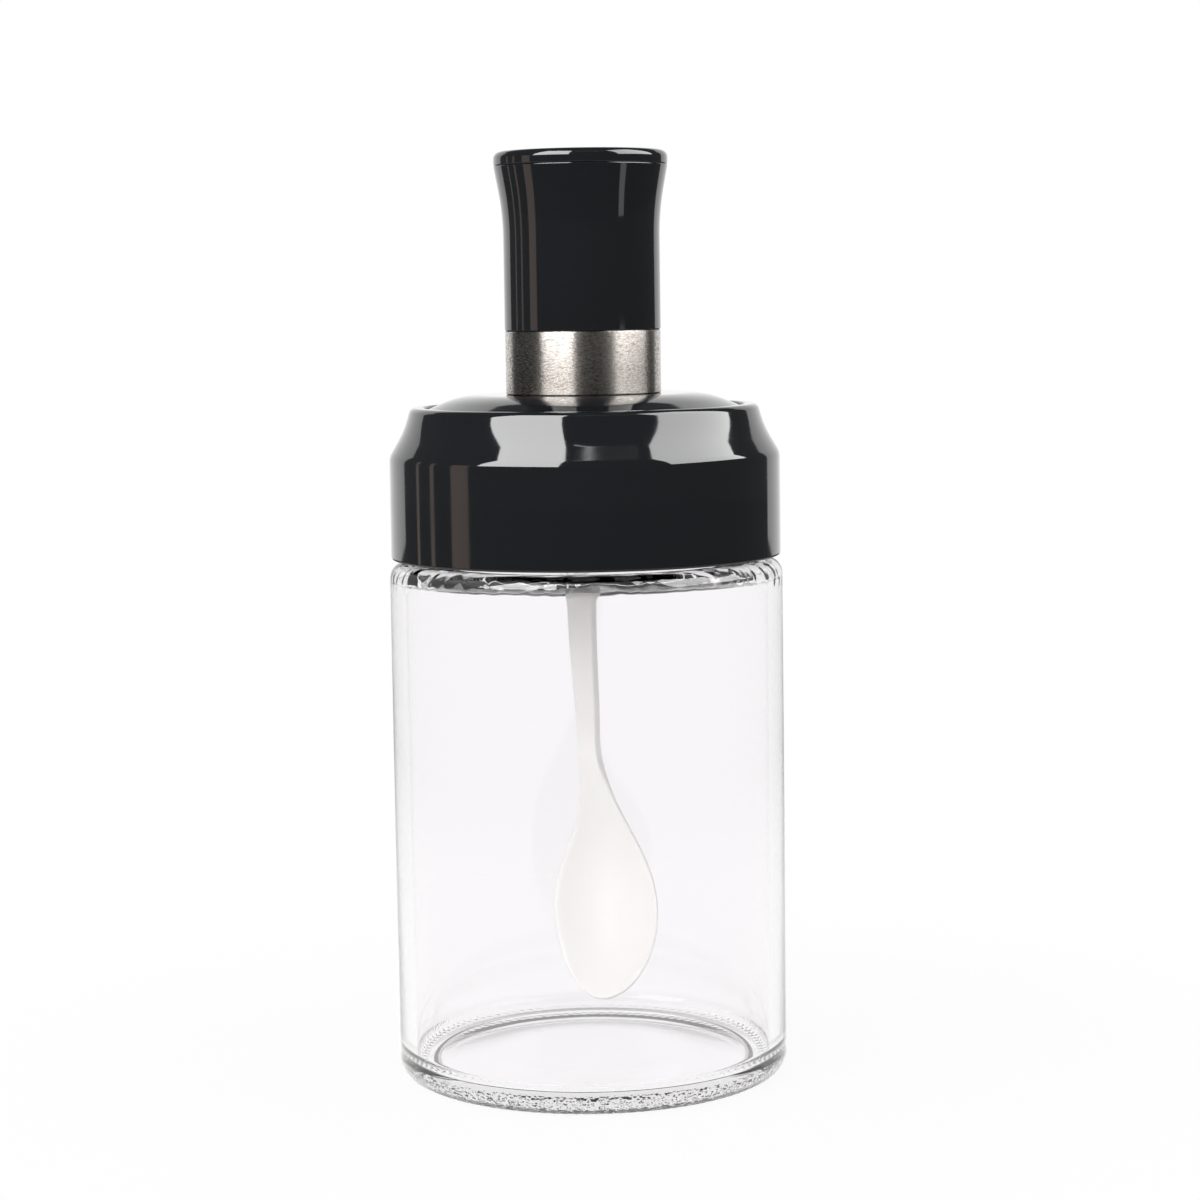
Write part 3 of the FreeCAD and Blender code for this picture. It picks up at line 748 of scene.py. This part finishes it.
# Lamps by azimuth (0 is towards the camera, to the right is positive), distance from the axis and
# height of the middle. The first two carry the soft light and point at the jar. The glow stands
# beside the jar and lights only the spoon, for the light that the glass gathers on its bowl. Those
# with "on" only show in gloss, some of them only on the pieces named there. They stand upright, or
# lie flat where they face up or down.
lampAim = 80.0
blackPieces = (lidShell, lidCrown, knobGrip, knobCap)
lidPieces = (*blackPieces, knobSleeve)
brown = "#d9c3b4"
glassRoom = 0.62  # what the glass mirrors on all sides
glassRoomWidth, glassRoomHeight = 2800, 1400
lamps = {
    "key_left": {
        "azimuth": -50, "distance": 650, "height": 640, "size": (700, 700), "radiance": 2.2},
    "fill_right": {
        "azimuth": 70, "distance": 700, "height": 560, "size": (600, 600), "radiance": 0.6},
    "jar_glow": {
        "azimuth": -38, "distance": 62, "height": 20, "size": (44, 40), "radiance": 2.7,
        "lit": (spiceSpoon,)},
    "box_left": {
        "azimuth": -41, "distance": 500, "height": 650, "size": (460, 800), "radiance": 12.0,
        "on": ()},
    "box_right": {
        "azimuth": 78, "distance": 500, "height": 650, "size": (560, 800), "radiance": 8.6,
        "on": ()},
    "bar_front": {
        "azimuth": 15, "distance": 500, "height": 800, "size": (460, 16), "radiance": 7.0,
        "on": blackPieces},
    "backdrop": {
        "azimuth": 180, "distance": 700, "height": 330, "size": (1580, 660), "radiance": 1.05,
        "on": lidPieces},
    "glass_ground": {
        "azimuth": 0, "distance": 0, "height": -0.02, "size": (glassRoomWidth, glassRoomWidth),
        "radiance": glassRoom, "on": (jarGlass,), "faces": 1},
    "glass_top": {
        "azimuth": 0, "distance": 0, "height": glassRoomHeight,
        "size": (glassRoomWidth, glassRoomWidth), "radiance": glassRoom, "on": (jarGlass,),
        "faces": -1},
    "strip_wide": {
        "azimuth": -77, "distance": 500, "height": 125, "size": (110, 230), "radiance": 1.3,
        "on": blackPieces, "colour": brown},
    "strip_mid": {
        "azimuth": -99, "distance": 500, "height": 125, "size": (30, 230), "radiance": 1.1,
        "on": blackPieces, "colour": brown},
    "strip_thin": {
        "azimuth": -113, "distance": 500, "height": 125, "size": (24, 230), "radiance": 1.0,
        "on": blackPieces, "colour": brown},
    "glow_right": {
        "azimuth": 57, "distance": 250, "height": 98, "size": (36, 62), "radiance": 1.3,
        "on": (knobGrip,)},
}
for wall, azimuth in (("front", 0), ("right", 90), ("back", 180), ("left", 270)):
    lamps["glass_" + wall] = {
        "azimuth": azimuth, "distance": glassRoomWidth / 2, "height": glassRoomHeight / 2,
        "size": (glassRoomWidth, glassRoomHeight), "radiance": glassRoom, "on": (jarGlass,)}


def placeLamps(settings, aim):
    for name, lamp in settings.items():
        azimuth = math.radians(lamp["azimuth"])
        place = Vector((math.sin(azimuth), -math.cos(azimuth), 0)) * lamp["distance"]
        place.z = lamp["height"]
        mirrored, picked = "on" in lamp, "lit" in lamp
        target = Vector((0, 0, lamp["height"] if mirrored or picked else aim))
        if "faces" in lamp:
            target = place + Vector((0, 0, lamp["faces"]))
        light = bpy.data.lights.new(name, "AREA")
        light.shape = "RECTANGLE"
        light.color = linearColour(lamp.get("colour", "#ffffff"))[:3]
        light.size, light.size_y = lamp["size"][0] * mm, lamp["size"][1] * mm
        light.energy = lamp["radiance"] * math.pi * light.size * light.size_y
        holder = bpy.data.objects.new(name, light)
        bpy.context.scene.collection.objects.link(holder)
        holder.location = place * mm
        holder.rotation_euler = (target - place).to_track_quat("-Z", "Y").to_euler()
        holder.visible_camera = False
        holder.visible_glossy = mirrored or picked
        holder.visible_diffuse = not mirrored
        holder.visible_transmission = not mirrored and not picked
        pieces = lamp.get("on") or lamp.get("lit")
        if pieces:
            receivers = bpy.data.collections.new(name + "_receivers")
            for piece in pieces:
                receivers.objects.link(piece)
            holder.light_linking.receiver_collection = receivers
            if picked:
                holder.light_linking.blocker_collection = receivers  # the glass casts no shadow


placeLamps(lamps, lampAim)

# Camera, fitted to the edges of the jar and the lid in the 1200 pixel frame.
view = {
    "place": (-13.8, -535.0, 140.0), "pitch": 5.015, "yaw": -1.743, "roll": -0.825,
    "focalPixels": 3005.0, "framePixels": 1200, "sensor": 36.0, "shift": -0.037,
    "nearest": 10.0, "farthest": 20000.0,
}
cameraData = bpy.data.cameras.new("photo_camera")
camera = bpy.data.objects.new("photo_camera", cameraData)
bpy.context.scene.collection.objects.link(camera)
cameraData.sensor_width = view["sensor"]
cameraData.lens = view["sensor"] * view["focalPixels"] / view["framePixels"]
cameraData.shift_y = view["shift"]
cameraData.clip_start, cameraData.clip_end = view["nearest"] * mm, view["farthest"] * mm
camera.location = Vector(view["place"]) * mm
camera.rotation_euler = (
    Matrix.Rotation(math.radians(view["yaw"]), 3, "Z")
    @ Matrix.Rotation(math.radians(90 - view["pitch"]), 3, "X")
    @ Matrix.Rotation(math.radians(view["roll"]), 3, "Z")
).to_euler()
bpy.context.scene.camera = camera
bpy.context.scene.view_settings.view_transform = "Standard"
print("camera and", len(lamps), "lamps set")

clearSelection()
